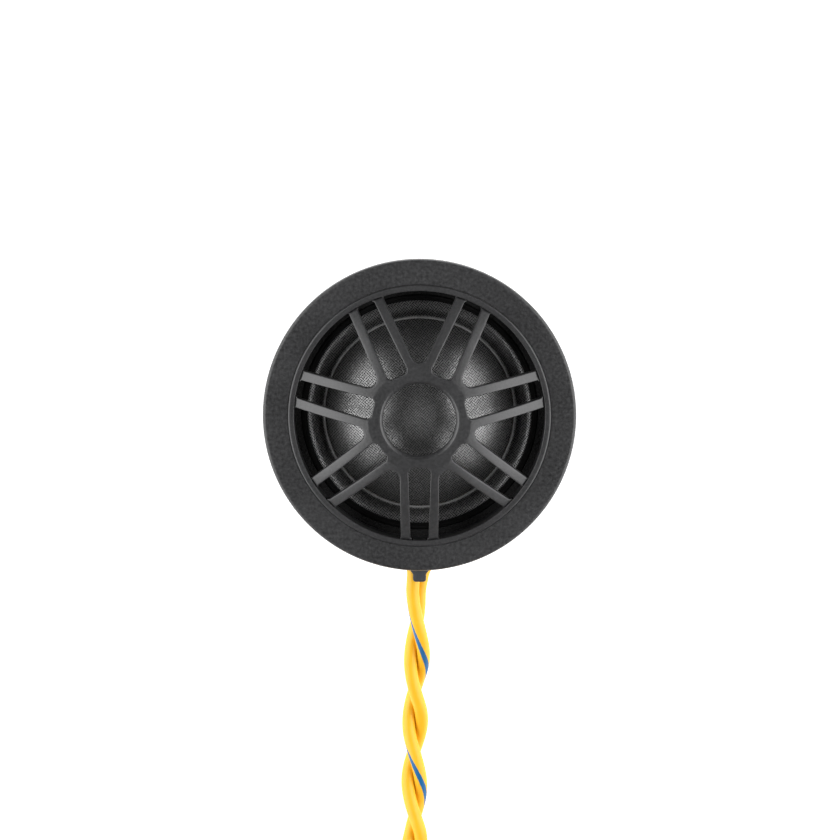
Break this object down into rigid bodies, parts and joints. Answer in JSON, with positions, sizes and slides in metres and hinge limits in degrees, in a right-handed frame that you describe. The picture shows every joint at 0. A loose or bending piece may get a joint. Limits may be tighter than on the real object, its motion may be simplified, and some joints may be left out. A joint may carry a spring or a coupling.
{
  "type": "car tweeter",
  "caption": "Flush-flange car tweeter: soft dome and surround behind a domed twin-spoke grille, neodymium motor inside, and a twisted pair of leads laid in a small coil.",
  "frame": {"origin": "centre of the flat rear face, which the tweeter stands on", "axes": "+Z out of the dome through the grille, -Y towards the side that the leads leave from, +X to the right when seen from the front with the leads down"},
  "size_m": [0.0597, 0.1398, 0.0236],
  "materials": {
    "flange_plastic": "fine-grained moulded finish",
    "grille_plastic": "satin moulded finish",
    "dome_cloth": "coated woven cloth",
    "surround_cloth": "coated woven cloth, with its roll pressed inwards",
    "former_film": "amber film",
    "coil_wire": "enamelled copper wire",
    "lead_out_braid": "fine copper braid",
    "frame_plastic": "moulded black",
    "gasket_foam": "closed-cell foam",
    "terminal_brass": "stamped",
    "solder": "smooth",
    "plate_steel": "zinc plated",
    "magnet_nickel": "nickel plated",
    "yoke_steel": "zinc plated",
    "felt": "needled felt",
    "pad_foam": "open-cell foam",
    "housing_plastic": "moulded, lightly textured",
    "screw_steel": "zinc plated",
    "relief_rubber": "soft moulded",
    "wire_yellow": "smooth extruded insulation",
    "wire_yellow_blue": "smooth extruded insulation with a thin blue stripe",
    "conductor_copper": "stranded",
    "tinned_copper": "tinned strands",
    "tie_nylon": "moulded nylon"
  },
  "bodies": {
    "root": {"bezel": "flange_plastic", "grille": "grille_plastic", "surround": "surround_cloth", "lead_out_left": "lead_out_braid", "lead_out_right": "lead_out_braid", "diaphragm_frame": "frame_plastic", "frame_gasket": "gasket_foam", "terminal_left": "terminal_brass", "terminal_right": "terminal_brass", "solder_joints": "solder", "pole_plate": "plate_steel", "magnet": "magnet_nickel", "yoke_cup": "yoke_steel", "pole_felt": "felt", "damping_pad": "pad_foam", "housing": "housing_plastic", "rear_cover": "housing_plastic", "cover_screws": "screw_steel", "strain_relief": "relief_rubber", "inner_wire_plain": "wire_yellow", "inner_wire_striped": "wire_yellow_blue", "inner_conductors": "conductor_copper", "lead_run": "wire_yellow", "lead_coil": "wire_yellow", "lead_tail": "wire_yellow", "lead_tie": "tie_nylon", "bare_end_plain": "tinned_copper", "bare_end_striped": "tinned_copper"},
    "diaphragm": {"dome": "dome_cloth", "coil_former": "former_film", "voice_coil": "coil_wire"}
  },
  "joints": [
    {"name": "dome_travel", "type": "slide", "parent": "root", "child": "diaphragm", "axis": [0, 0, 1], "range_m": [-0.0004, 0.0004], "stiffness_N_per_m": 100, "deforming": ["surround", "lead_out_left", "lead_out_right"]}
  ]
}
